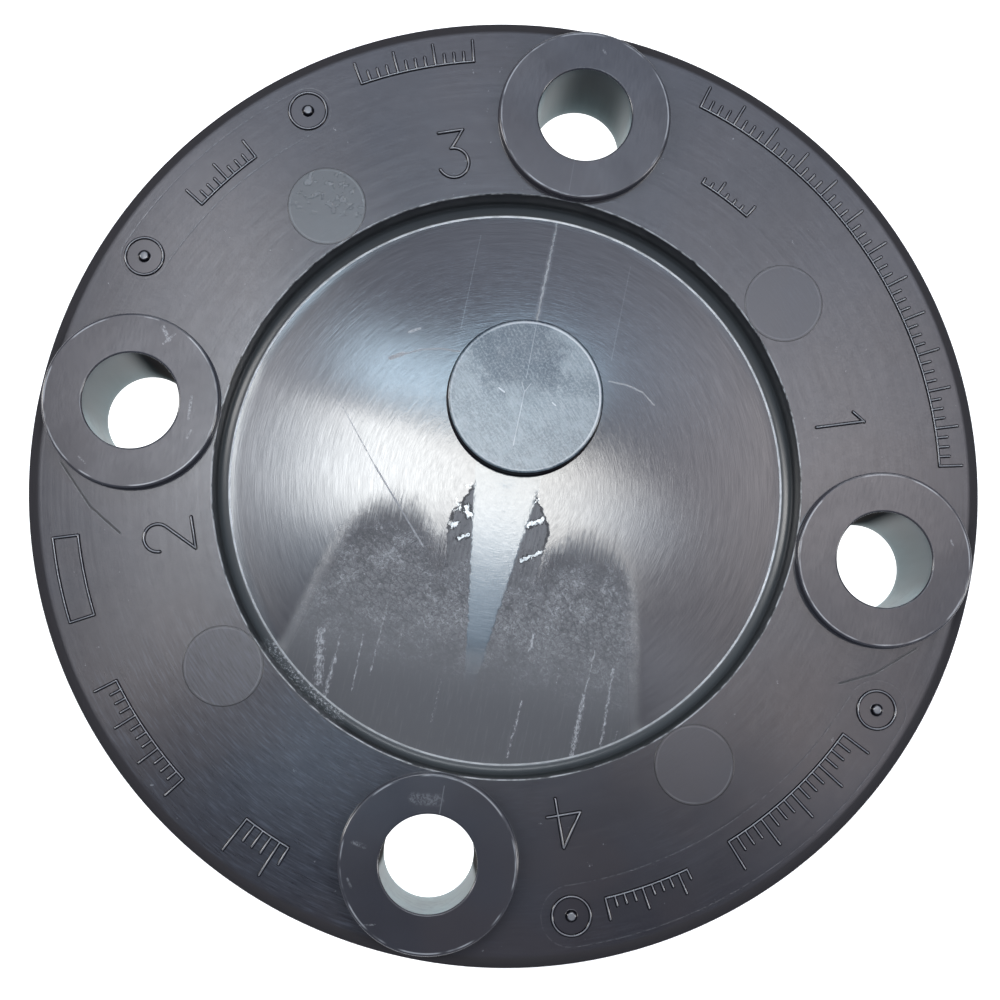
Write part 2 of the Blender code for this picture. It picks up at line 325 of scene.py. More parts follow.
class Value:
    """A number that a node gives. Arithmetic on it adds the Math node for it."""

    def __init__(self, graph, socket):
        self.graph = graph
        self.socket = socket

    def __add__(self, other):
        return self.graph.math("ADD", self, other)

    def __sub__(self, other):
        return self.graph.math("SUBTRACT", self, other)

    def __rsub__(self, other):
        return self.graph.math("SUBTRACT", other, self)

    def __mul__(self, other):
        return self.graph.math("MULTIPLY", self, other)

    def __truediv__(self, other):
        return self.graph.math("DIVIDE", self, other)

    def __abs__(self):
        return self.graph.math("ABSOLUTE", self)

    def ramp(self, low, high, out_low=0.0, out_high=1.0):
        """A smooth step from out_low to out_high as this goes from low to high."""
        return self.graph.put("ShaderNodeMapRange", interpolation_type="SMOOTHSTEP",
                              inputs={"Value": self, "From Min": low, "From Max": high,
                                      "To Min": out_low, "To Max": out_high})

    def band(self, low, high, soft):
        """1 between low and high, fading to 0 over soft outside them."""
        return self.ramp(low - soft, low) * self.ramp(high + soft, high)


class Graph:
    """Short calls for building nodes; every call returns a Value."""

    def __init__(self, tree):
        self.tree = tree

    def put(self, kind, output=0, inputs=None, **settings):
        node = self.tree.nodes.new(kind)
        for key, value in settings.items():
            setattr(node, key, value)
        for key, value in (inputs or {}).items():
            self.feed(node.inputs[key], value)
        return Value(self, node.outputs[output])

    def feed(self, socket, value):
        if isinstance(value, Value):
            self.tree.links.new(value.socket, socket)
        elif isinstance(value, tuple) and socket.type == "RGBA":
            socket.default_value = (*value, 1.0)
        else:
            socket.default_value = value

    def math(self, operation, a, b=0.0, clamp=False):
        return self.put("ShaderNodeMath", operation=operation, use_clamp=clamp,
                        inputs={0: a, 1: b, 2: 0.0})

    def vector(self, operation, a, b=(0.0, 0.0, 0.0), output=0):
        return self.put("ShaderNodeVectorMath", output, operation=operation, inputs={0: a, 1: b})

    def combine(self, x, y, z=0.0):
        return self.put("ShaderNodeCombineXYZ", inputs={0: x, 1: y, 2: z})

    def split(self, vector):
        node = self.put("ShaderNodeSeparateXYZ", inputs={0: vector}).socket.node
        return [Value(self, output) for output in node.outputs]

    def scale(self, vector, factor):
        return self.put("ShaderNodeVectorMath", operation="SCALE",
                        inputs={0: vector, "Scale": factor})

    def length(self, vector):
        return self.vector("LENGTH", vector, output="Value")

    def distance(self, a, b):
        return self.vector("DISTANCE", a, b, "Value")

    def mix(self, share, a, b):
        """A colour between a and b."""
        return self.put("ShaderNodeMix", 2, data_type="RGBA", inputs={0: share, 6: a, 7: b})

    def blend(self, share, a, b):
        """A number between a and b."""
        return self.put("ShaderNodeMix", data_type="FLOAT", inputs={0: share, 2: a, 3: b})

    def least(self, a, b):
        return self.math("MINIMUM", a, b)

    def most(self, *values):
        largest = values[0]
        for value in values[1:]:
            largest = self.math("MAXIMUM", largest, value)
        return largest

    def curve(self, value, low, high, points):
        """A drawn curve through (value, result) points, both mapped to 0..1 between low and high."""
        node = self.tree.nodes.new("ShaderNodeFloatCurve")
        self.feed(node.inputs["Value"], self.put("ShaderNodeMapRange", inputs={
            "Value": value, "From Min": low[0], "From Max": high[0]}))
        line = node.mapping.curves[0]
        placed = [((a - low[0]) / (high[0] - low[0]), (b - low[1]) / (high[1] - low[1]))
                  for a, b in points]
        line.points[0].location = placed[0]
        line.points[-1].location = placed[-1]
        for spot in placed[1:-1]:
            line.points.new(*spot)
        for point in line.points:
            point.handle_type = "VECTOR"
        node.mapping.update()
        return self.put("ShaderNodeMapRange", inputs={
            "Value": Value(self, node.outputs[0]), "To Min": low[1], "To Max": high[1]})

    def segment(self, place, start, end, width, soft=0.6):
        """1 on the line from start to end, fading to 0 at width to its side (place has no z)."""
        run = (end[0] - start[0], end[1] - start[1], 0.0)
        away = self.vector("SUBTRACT", place, (start[0], start[1], 0.0))
        share = self.math("MULTIPLY", self.vector("DOT_PRODUCT", away, run, "Value"),
                          1.0 / (run[0] ** 2 + run[1] ** 2), clamp=True)
        gap = self.length(self.vector("SUBTRACT", away, self.scale(run, share)))
        return gap.ramp(width, width * (1.0 - soft))

    def lines(self, place, strokes, soft=0.6):
        """The strongest of many segments, each (start, end, width, strength)."""
        return self.most(*[self.segment(place, start, end, width, soft) * strength
                           for start, end, width, strength in strokes])


class Look(Graph):
    """A material being built, and its place in millimetres: x, y, z, distance from the axis, angle."""

    def __init__(self, name, roughness, specular=0.5):
        self.material = bpy.data.materials.new(name)
        self.material.use_nodes = True
        super().__init__(self.material.node_tree)
        self.shader = self.tree.nodes["Principled BSDF"]
        self.shader.inputs["Roughness"].default_value = roughness
        self.shader.inputs["IOR"].default_value = PVC_IOR
        self.shader.inputs["Specular IOR Level"].default_value = specular
        self.mm = self.scale(self.put("ShaderNodeTexCoord", "Object"), 1.0 / MM)
        self.x, self.y, self.z = self.split(self.mm)
        self.radius = self.math("SQRT", self.x * self.x + self.y * self.y)
        self.angle = self.math("ARCTAN2", self.y, self.x)
        self.flat = self.combine(self.x, self.y)

    def give(self, socket_name, value):
        self.feed(self.shader.inputs[socket_name], value)

    def noise(self, scale, detail=3.0, roughness=0.55, at=None, distortion=0.0):
        return self.put("ShaderNodeTexNoise",
                        inputs={"Vector": at or self.mm, "Scale": scale, "Detail": detail,
                                "Roughness": roughness, "Distortion": distortion})

    def drawn(self, a, b, fine_a, fine_b, detail=4.0, roughness=0.7):
        """Noise over a and b, drawn out along the one with the lower fineness."""
        return self.noise(1.0, detail, roughness, self.combine(a * fine_a, b * fine_b))

    def turned(self, fineness, turns):
        """Fine rings broken along their length, as a turned mould leaves them."""
        return self.drawn(self.radius, self.angle, fineness, turns, 4.0, 0.65)

    def cell_edges(self, vector, scale):
        """Distance to the nearest border of a field of random cells."""
        return self.put("ShaderNodeTexVoronoi", feature="DISTANCE_TO_EDGE",
                        inputs={"Vector": vector, "Scale": scale})

    def stroked(self, tint, strokes, zone, pale, pale_share, dark_share):
        """The tint with pale and dark strokes laid over it in the zone."""
        tint = self.mix(strokes.ramp(0.50, 0.66) * zone * pale_share, tint, pale)
        return self.mix(strokes.ramp(0.48, 0.36) * zone * dark_share, tint, STROKE_DARK)

    def bump(self, height, strength, distance=BUMP_DISTANCE):
        self.give("Normal", self.put("ShaderNodeBump", inputs={
            "Height": height, "Strength": strength, "Distance": distance}))

    def lay_grain(self, amount):
        """Spreads the reflection outwards and inwards, as fine concentric grooves do."""
        self.give("Anisotropic", amount)
        self.give("Tangent", self.vector("NORMALIZE", self.flat))


# ---------------------------------------------------------------- face, marks, seats and ejectors

# Slots round pairs of ring marks, the outlines of mould inserts: first and last angle, half width in mm
INSERT_SLOTS = ((130.0, 160.0, 4.65), (290.0, 340.0, 5.9))
# Creases from two of the seats, as (radius mm, degrees) points; the face is sunk along them and painted near
# black there as shade
CREASES = (
    ((87.5, 349.6), (82.0, 344.2), (76.8, 340.4)),
    ((88.3, 189.6), (82.6, 195.4), (77.2, 199.6)),
)
# The stretch between holes 2 and 4 that is brushed all along, and how softly it ends, in radians
BRUSHED_STRETCH = (math.radians(-138), math.radians(-100), 0.2)


def slot_outline(look, first_deg, last_deg, half_width):
    """A thin line round a slot that follows the ring marks' circle, with rounded ends."""
    orbit = RING_MARK_ORBIT / MM
    middle = math.radians((first_deg + last_deg) / 2)
    reach = math.radians(last_deg - first_deg) / 2 * orbit
    along = (look.angle - (middle if middle < math.pi else middle - 2 * math.pi)) * orbit
    beyond = look.most(abs(along) - reach, 0.0)
    gap = look.length(look.combine(beyond, look.radius - orbit))
    return gap.band(half_width - 0.05, half_width + 0.05, 0.10)


def face_colour(look, colour):
    """Cloudy dark grey with a fine paler grain; returns the tint and the grain."""
    clouds = look.noise(0.035)
    grain = look.noise(2.2, 4.0, 0.6)
    drift = look.noise(0.028, 2.0)
    tint = look.mix(clouds.ramp(0.3, 0.7), PVC_DARK, PVC_LIGHT)
    tint = look.mix(drift.ramp(0.40, 0.50, 0.35, 0.0), tint, PVC_COOL)
    tint = look.mix(drift.ramp(0.52, 0.62, 0.0, 0.35), tint, PVC_WARM)
    tint = look.mix(grain.ramp(0.35, 0.7) * 0.25, tint, PVC_LIGHT)
    return look.mix(0.5, tint, colour), grain


def brushed_tint(look, tint):
    """Short concentric strokes, in patches and all along the brushed stretch."""
    strokes = look.turned(2.6, 16.0)
    patch = look.noise(0.045, 2.0).ramp(0.44, 0.58, 0.0, 0.22)
    zone = look.most(patch, look.angle.band(*BRUSHED_STRETCH))
    return look.stroked(tint, strokes, zone, STROKE_PALE, 0.38, 0.45)


def face_material():
    """Moulded PVC of the back face: glossy satin, with faint turning marks and insert outlines."""
    look = Look("pvc_face", 0.12)
    tint, grain = face_colour(look, PVC)
    rings = look.turned(1.6, 3.0)
    fine_rings = look.turned(6.0, 5.0)
    broken = look.noise(1.2, 3.0, 0.7).ramp(0.38, 0.60)
    slots = look.most(*[slot_outline(look, *slot) for slot in INSERT_SLOTS]) * broken
    creases = look.lines(look.flat, [(polar(*start), polar(*end), 0.30, 1.0)
                                     for points in CREASES for start, end in zip(points, points[1:])])
    flecks = look.noise(0.55, 2.0, 0.5).ramp(0.73, 0.78) * look.noise(3.0, 3.0, 0.7).ramp(0.50, 0.62)
    tint = brushed_tint(look, tint)
    tint = look.mix(slots * 0.045, tint, SCUFF_AND_HIGHLIGHT)
    tint = look.mix(flecks * 0.35, tint, SCUFF_AND_HIGHLIGHT)
    # Painted shade: near black along the sunk creases
    tint = look.mix(creases * 0.8, tint, CREASE_SHADE)
    # The rounded outer edge and the side wall below it mirror nothing of the lights overhead
    edge = (look.radius.ramp(FLANGE_RADIUS / MM - 3.2, FLANGE_RADIUS / MM - 2.2)
            * look.z.ramp(FACE_MM - 3.0, FACE_MM - 2.3))
    tint = look.mix(edge, tint, EDGE_SHADE)
    # Painted light: the side wall and the gasket face below it are painted paler than the face
    tint = look.mix(look.z.ramp(FACE_MM - 3.0, FACE_MM - 4.2), tint, PVC_SIDE_PAINTED_LIGHT)
    look.give("Base Color", tint)
    shine = (look.blend(fine_rings.ramp(0.35, 0.65), 0.46, 0.54)
             * look.blend(rings.ramp(0.35, 0.65), 0.95, 1.05)
             * look.blend(grain.ramp(0.35, 0.65), 0.92, 1.08)
             * look.blend(look.noise(0.5, 4.0, 0.8).ramp(0.35, 0.65), 0.94, 1.06))
    look.give("Specular IOR Level", look.blend(edge, shine, 0.0))
    look.give("Roughness", look.blend(creases, look.blend(rings, 0.09, 0.17), 0.6))
    look.lay_grain(0.6)
    look.bump(fine_rings * 1.2 + grain * 0.5 - look.most(slots * 0.5, creases) * 6.0, 0.10)
    return look.material


def mark_material():
    """Raised lines and ring marks: glossy, with a painted highlight along the top and painted shade, nearly
    black, down their flanks.
    """
    look = Look("pvc_mark", 0.12)
    tint, grain = face_colour(look, PVC)
    up = look.split(look.put("ShaderNodeNewGeometry", "Normal"))[2]
    height = look.z - FACE_MM
    # Painted shade down the steep flanks and a painted highlight along the top, by which way the surface
    # faces
    shaded_flank = up.ramp(0.94, 0.78)
    crest_highlight = up.ramp(0.955, 0.99) * height.ramp(0.18, 0.28)
    tint = look.mix(crest_highlight * 0.30, tint, SCUFF_AND_HIGHLIGHT)
    look.give("Base Color", look.mix(shaded_flank, tint, FLANK_SHADE))
    look.give("Specular IOR Level", look.blend(shaded_flank, 0.5, 0.10))
    look.give("Roughness", look.blend(grain, 0.08, 0.16))
    return look.material


# Lines and rubbed spots here and below are (start, end, half width, strength), in millimetres
SEAT_SCUFFS = (
    ((-73.2, 15.6), (-71.4, 13.4), 0.55, 1.0),
    ((-72.4, 12.4), (-70.6, 14.8), 0.30, 0.9),
    ((-64.6, 3.2), (-64.2, -1.2), 0.40, 0.8),
    ((-63.2, -3.4), (-63.6, -5.0), 0.30, 0.6),
    ((-83.5, -13.0), (-82.0, -14.0), 0.25, 0.6),
    ((-5.2, -64.5), (-0.6, -63.9), 1.50, 0.35),
    ((-15.0, -75.0), (-12.6, -75.4), 0.55, 0.5),
    ((-14.6, -82.0), (-13.6, -83.4), 0.30, 0.6),
    ((-10.8, -90.2), (-7.6, -89.4), 0.22, 0.7),
    ((1.0, 90.2), (1.6, 89.6), 0.30, 0.6),
    ((88.4, 6.6), (89.0, 5.6), 0.25, 0.6),
)
SEAT_KNIT_LINES = (
    ((0.2, -66.4), (0.0, -61.0), 0.14, 0.35),
    ((-0.2, 66.6), (0.0, 60.0), 0.10, 0.12),
)


def seat_material():
    """Washer seat: fine circles round its own hole, a pale line of painted highlight inside its edge, rubbed
    spots.
    """
    look = Look("pvc_seat", 0.16)
    tint, grain = face_colour(look, PVC)
    # The four seats fold onto one: the larger of |x| and |y| runs outwards through the hole
    outward = look.most(abs(look.x), abs(look.y))
    sideways = look.least(abs(look.x), abs(look.y))
    reach = look.length(look.combine(outward - BOLT_CIRCLE_RADIUS / MM, sideways))
    circles = look.noise(1.0, 3.0, 0.6, look.combine(reach * 4.0, 0.0))
    edge = SEAT_RADIUS / MM
    patches = look.noise(0.16, 2.0).ramp(0.42, 0.62)
    # Painted highlight: a broken pale line just inside the seat's outer edge
    edge_highlight = reach.band(edge - 0.62, edge - 0.48, 0.12) * patches
    worn = look.noise(1.6, 5.0, 0.85).ramp(0.44, 0.58)
    scuffs = look.most(look.lines(look.flat, SEAT_SCUFFS) * worn, look.lines(look.flat, SEAT_KNIT_LINES))
    tint = look.mix(edge_highlight * 0.5, tint, SCUFF_AND_HIGHLIGHT)
    look.give("Base Color", look.mix(scuffs * 0.45, tint, SCUFF_AND_HIGHLIGHT))
    brushed = look.drawn(look.x, look.y, 2.6, 0.35)
    look.give("Specular IOR Level", brushed.ramp(0.35, 0.65, 0.44, 0.56)
              * look.noise(0.06).ramp(0.35, 0.65, 0.88, 1.14))
    look.give("Roughness", look.blend(circles, 0.11, 0.21))
    look.bump(circles * 0.7 + grain * 0.4, 0.25)
    return look.material


def ejector_material():
    """Ejector pin marks: a slightly duller disc, a crisp outline of painted shade with a pale ring of
    painted highlight inside it, fine pits in the one at 135 degrees.
    """
    look = Look("pvc_ejector", 0.22)
    tint, grain = face_colour(look, PVC_LIGHT)
    offset = EJECTOR_ORBIT * math.sqrt(0.5) / MM
    reach = look.length(look.combine(abs(look.x) - offset, abs(look.y) - offset))
    edge = EJECTOR_RADIUS / MM
    # Painted shade: a near-black ring round the edge where a groove would be; painted highlight: a broken
    # pale ring just inside it
    outline = reach.ramp(edge - 0.34, edge - 0.16)
    pale = reach.band(edge - 0.60, edge - 0.46, 0.08) * look.noise(0.12, 1.0).ramp(0.42, 0.56)
    first = look.x.ramp(0.0, -10.0) * look.y.ramp(0.0, 10.0)
    pits = look.noise(0.75, 2.0, 0.5).ramp(0.56, 0.64) * first * look.y.ramp(44.0, 50.0)
    tint = look.mix(first * 0.8, tint, PITTED_GREY)
    tint = brushed_tint(look, tint)
    tint = look.mix(pale * 0.08, tint, SCUFF_AND_HIGHLIGHT)
    tint = look.mix(pits * 0.10, tint, SCUFF_AND_HIGHLIGHT)
    look.give("Base Color", look.mix(outline * 0.9, tint, CREASE_SHADE))
    look.give("Roughness", look.blend(grain, 0.16, 0.26))
    look.bump(grain * 0.5 - pits * 3.0, 0.5, 1.5 * BUMP_DISTANCE)
    return look.material


# ---------------------------------------------------------------- recess

def wall_material():
    """The recess wall: painted near black as a dark reflection and paler at its foot as a painted highlight,
    with painted highlight lines along its rim and where it meets the floor, and a rubbed stretch.
    """
    look = Look("pvc_recess_wall", 0.3)
    floor_mm = FLOOR_Z / MM
    floor_edge = FLOOR_RADIUS / MM
    patches = look.noise(0.35).ramp(0.35, 0.62)
    # Painted highlight: broken pale lines along the rim and along the wall's foot, weaker towards -y
    rim = look.z.band(FACE_MM - 0.20, FACE_MM - 0.04, 0.10) * patches * 0.45
    valley_highlight = look.radius.band(floor_edge + 0.02, floor_edge + 0.30, 0.18)
    # Painted near black as a dark reflection, paler at the foot as a painted highlight
    tint = look.mix(look.z.ramp(floor_mm + 2.6, floor_mm + 0.5), WALL_DARK_REFLECTION, WALL_FOOT_HIGHLIGHT)
    rubbed = (look.angle.band(math.radians(-133), math.radians(-115), 0.06)
              * look.noise(1.8, 5.0, 0.85).ramp(0.52, 0.62) * 0.5)
    above = look.y.ramp(-46.0, -10.0, 0.35, 1.0)
    pale = look.most(rim, rubbed, valley_highlight * above * look.blend(patches, 0.55, 0.9))
    look.give("Base Color", look.mix(pale, tint, RUBBED_EDGE_AND_HIGHLIGHT))
    return look.material


# Upper edge of the two dull flow lobes under the gate, as (x, y) in millimetres
LOBE_EDGE = (
    (-42.0, -60.0), (-40.5, -48.0), (-38.8, -38.0), (-36.5, -30.0), (-33.2, -22.0), (-29.8, -15.6),
    (-26.0, -11.0), (-22.0, -9.0), (-17.0, -9.5), (-14.5, -11.5), (-12.4, -15.0), (-10.5, -17.0),
    (10.0, -16.0), (11.4, -13.5), (15.0, -9.0), (19.0, -8.5),
    (24.0, -9.6), (28.6, -12.8), (34.2, -23.0), (36.4, -31.5), (38.0, -41.5), (39.2, -50.0), (40.0, -60.0),
)
LOBE_CURVE_FROM = (-42.0, -60.0)
LOBE_CURVE_TO = (40.0, 5.0)
FLOOR_SCUFFS = (
    ((-30.6, -36.5), (-28.8, -46.5), 2.4, 1.0),
    ((-26.6, -36.5), (-26.6, -41.5), 0.5, 0.8),
    ((-26.6, -41.0), (-27.2, -52.5), 1.2, 1.0),
    ((-22.0, -35.5), (-21.9, -47.0), 0.5, 0.9),
    ((-18.6, -28.0), (-19.1, -43.0), 0.5, 0.9),
    ((-14.6, -33.0), (-14.6, -37.5), 0.5, 0.7),
    ((-10.0, -31.0), (-10.2, -34.5), 0.5, 0.7),
    ((-4.9, -41.0), (-5.1, -49.5), 0.6, 0.7),
    ((-33.5, -17.5), (-31.0, -14.5), 0.5, 0.7),
    ((11.9, -42.0), (11.2, -53.5), 0.7, 0.9),
    ((11.5, -28.6), (11.3, -31.6), 1.0, 1.0),
    ((17.9, -34.0), (18.1, -39.0), 0.4, 0.7),
    ((24.3, -29.0), (23.9, -40.0), 0.6, 0.9),
    ((23.9, -38.5), (23.9, -55.0), 1.5, 1.0),
    ((28.6, -32.0), (29.3, -48.5), 0.8, 0.95),
    ((32.0, -44.0), (31.0, -48.0), 0.7, 0.7),
)
# Bright gaps between the scales of the two tongues beside the streak, painted pale as a reflection
TONGUE_GAPS = (
    ((5.6, -0.9), (6.7, -0.3), 0.35, 0.9),
    ((5.6, -2.3), (7.0, -1.4), 0.45, 0.9),
    ((5.2, -7.1), (6.7, -6.4), 0.90, 1.0),
    ((6.7, -6.4), (8.7, -5.0), 0.80, 1.0),
    ((6.1, -14.1), (7.4, -13.3), 0.75, 1.0),
    ((7.4, -13.3), (9.8, -11.8), 0.65, 1.0),
    ((-7.9, -1.7), (-6.8, -1.0), 0.40, 0.9),
    ((-7.2, -5.8), (-6.0, -7.6), 1.00, 1.0),
    ((-9.5, -7.3), (-8.3, -5.8), 0.40, 0.9),
    ((-9.5, -4.9), (-8.2, -6.6), 0.35, 0.9),
    ((-9.8, -9.8), (-9.0, -10.3), 0.60, 1.0),
    ((-9.0, -10.3), (-8.1, -9.4), 0.50, 1.0),
    ((-7.5, -12.5), (-5.4, -11.4), 0.70, 1.0),
)
FLOOR_SCRATCHES = (
    ((-27.0, -1.5), (-14.0, -15.5), 0.24, 0.8),
    ((-36.0, 9.0), (-27.0, -1.5), 0.18, 0.35),
    ((-26.2, 22.4), (-28.6, 20.9), 0.50, 0.8),
    ((-24.0, 28.2), (-26.0, 27.0), 0.35, 0.6),
)
FLOW_ARCS = (
    ((-15.1, 25.2), (-19.0, 25.0), 0.20, 0.55),
    ((-19.0, 25.0), (-23.0, 23.9), 0.20, 0.60),
    ((-23.0, 23.9), (-27.0, 21.8), 0.18, 0.65),
    ((16.2, 25.6), (20.0, 25.6), 0.22, 0.18),
    ((20.0, 25.6), (23.4, 24.8), 0.22, 0.24),
    ((23.4, 24.8), (26.2, 22.7), 0.20, 0.18),
    ((-15.8, 30.0), (-15.8, 50.0), 0.12, 0.06),
    ((15.8, 30.0), (15.8, 50.0), 0.12, 0.06),
)
KNIT_LINE = ((-0.9, 55.8), (-0.9, 35.0))


def flow_lobes(look, down, fine_rag):
    """The lobes' mask, and how far inside their upper edge a point lies."""
    x, y = look.x, look.y
    # The upper edge is ragged, drawn out along y and softest at the top
    rag = look.drawn(x, y, 2.2, 0.12)
    side_wobble = look.drawn(y, x, 0.35, 0.2)
    edge_y = look.curve(x + (side_wobble - 0.5) * 3.0, LOBE_CURVE_FROM, LOBE_CURVE_TO, LOBE_EDGE)
    inside = edge_y - y + (fine_rag - 0.5) * 2.0
    depth = inside / down.ramp(8.0, 34.0, 6.0, 12.0) * 0.5
    raggedness = abs(x).ramp(34.0, 25.0, 0.2, 1.05)
    lobe = (depth + (rag - 0.5) * raggedness).ramp(-0.45, 0.40)
    # The outer flanks are steep, so they fade across x as well
    left_reach = down * 0.28 + 27.0
    right_reach = down * 0.24 + 26.2
    lobe = lobe * (left_reach + x).ramp(-2.0, 4.2) * (right_reach - x).ramp(-2.0, 4.2)
    return lobe, inside


def streak_shape(look, down, fine_rag):
    """The smooth streak down from the gate: its mask, its half width and the distance from its middle."""
    half = look.least(6.6 - down * 0.135, (44.0 - down) * 0.25)
    off_centre = abs(look.x - (down * 0.025 - 0.1))
    streak = (half + (fine_rag - 0.5) * 1.2 - off_centre).ramp(-0.2, 0.3)
    return streak * down.ramp(-8.0, 0.0) * down.ramp(42.0, 30.0), half, off_centre


def tongue_shapes(look, down, fine_rag, streak, from_streak):
    """Dull tongues beside the streak, in scales: the mask, the gaps, the outlines and the scaly part."""
    x, y = look.x, look.y
    tip = x.ramp(-1.0, 1.0, -0.4, -0.6)
    tongue_half = (down - tip).ramp(-0.6, x.ramp(-1.0, 1.0, 10.5, 9.0), -0.4, 4.9)
    edge = tongue_half - from_streak + (fine_rag - 0.5) * 2.0
    tongue = edge.ramp(-0.2, 0.2) * down.ramp(-1.0, 0.5) * from_streak.ramp(-0.7, -0.1)
    bend_x = look.noise(0.8, 3.0, 0.7) - 0.5
    bend_y = look.noise(0.9, 4.0, 0.75, look.scale(look.mm, -1.0)) - 0.5
    bent = look.combine(x + bend_x * 2.0, y + bend_y * 3.2)
    zone = tongue * down.ramp(24.0, 15.0)
    near_gap = look.lines(bent, TONGUE_GAPS, 1.0) * (1.0 - streak)
    gaps = near_gap.ramp(0.46, 0.56) * from_streak.ramp(-0.6, 0.0)
    inner_marks = look.drawn(x, y, 2.0, 0.7, 4.0, 0.75)
    outlines = look.most(near_gap.band(0.06, 0.46, 0.05),
                         edge.band(0.05, 0.42, 0.12) * down.ramp(13.5, 9.0),
                         inner_marks.ramp(0.54, 0.66, 0.0, 0.55))
    return tongue, gaps, outlines * zone, zone


def wrinkled_tint(look, tint, down, ripple, zone):
    """The lobes' tint with wrinkles: dark ripples painted as shade in their hollows, dark and pale webs, and
    pale crests painted as highlight, with pale flecks.
    """
    x, y = look.x, look.y
    shaken = look.noise(1.3, 3.0, 0.7)
    crumpled = look.combine(x + shaken * 3.0, y - shaken * 2.2)
    dark_web = look.cell_edges(crumpled, 0.85).ramp(0.16, 0.02)
    pale_web = (look.cell_edges(look.scale(crumpled, 1.3), 0.8).ramp(0.12, 0.02)
                * look.noise(1.3, 2.0).ramp(0.50, 0.60))
    patches = look.noise(0.22, 3.0, 0.6).ramp(0.40, 0.62)
    flecks = look.noise(1.0, 3.0, 0.6, look.combine(x * 1.5, y)).ramp(0.62, 0.72)
    # Painted highlight along pale crest lines, together with pale flecks
    crests = look.most(ripple.band(0.495, 0.51, 0.025) * patches, flecks) * zone
    # Painted shade in the ripples' hollows, which the bump sinks
    tint = look.mix(ripple.ramp(0.44, 0.58) * zone * 0.5, tint, RIPPLE_SHADE)
    tint = look.mix(dark_web * zone * 0.6, tint, WEB_DARK)
    tint = look.mix(pale_web * zone * look.blend(patches, 0.15, 0.42), tint, SCUFF_AND_HIGHLIGHT)
    return look.mix(crests * 0.4, tint, SCUFF_AND_HIGHLIGHT)


def rubbed_lines(look):
    """Scuffs and scratches, the knit line above the pad and the glow beside that line."""
    x, y = look.x, look.y
    wander = (look.noise(0.8) - 0.5) * 0.7
    wandering = look.combine(x + wander, y)
    worn = look.drawn(x, y, 2.4, 0.9, 6.0, 0.85)
    strokes = look.lines(wandering, FLOOR_SCUFFS, 1.0)
    scuffs = (strokes * 0.28 + worn).ramp(0.68, 0.90) * strokes.ramp(0.02, 0.25)
    broken = worn.ramp(0.44, 0.60)
    scratches = look.lines(look.flat, FLOOR_SCRATCHES) * look.blend(broken, 0.4, 1.0)
    scuffs = look.most(scuffs, scratches, look.lines(look.flat, FLOW_ARCS))
    strength = look.blend(broken, 0.5, 1.0) * y.ramp(56.0, 46.0, 0.3, 1.0)
    knit = look.segment(wandering, *KNIT_LINE, 0.26) * strength
    return scuffs, knit, look.segment(wandering, *KNIT_LINE, 0.9, 1.0) * strength * 0.18


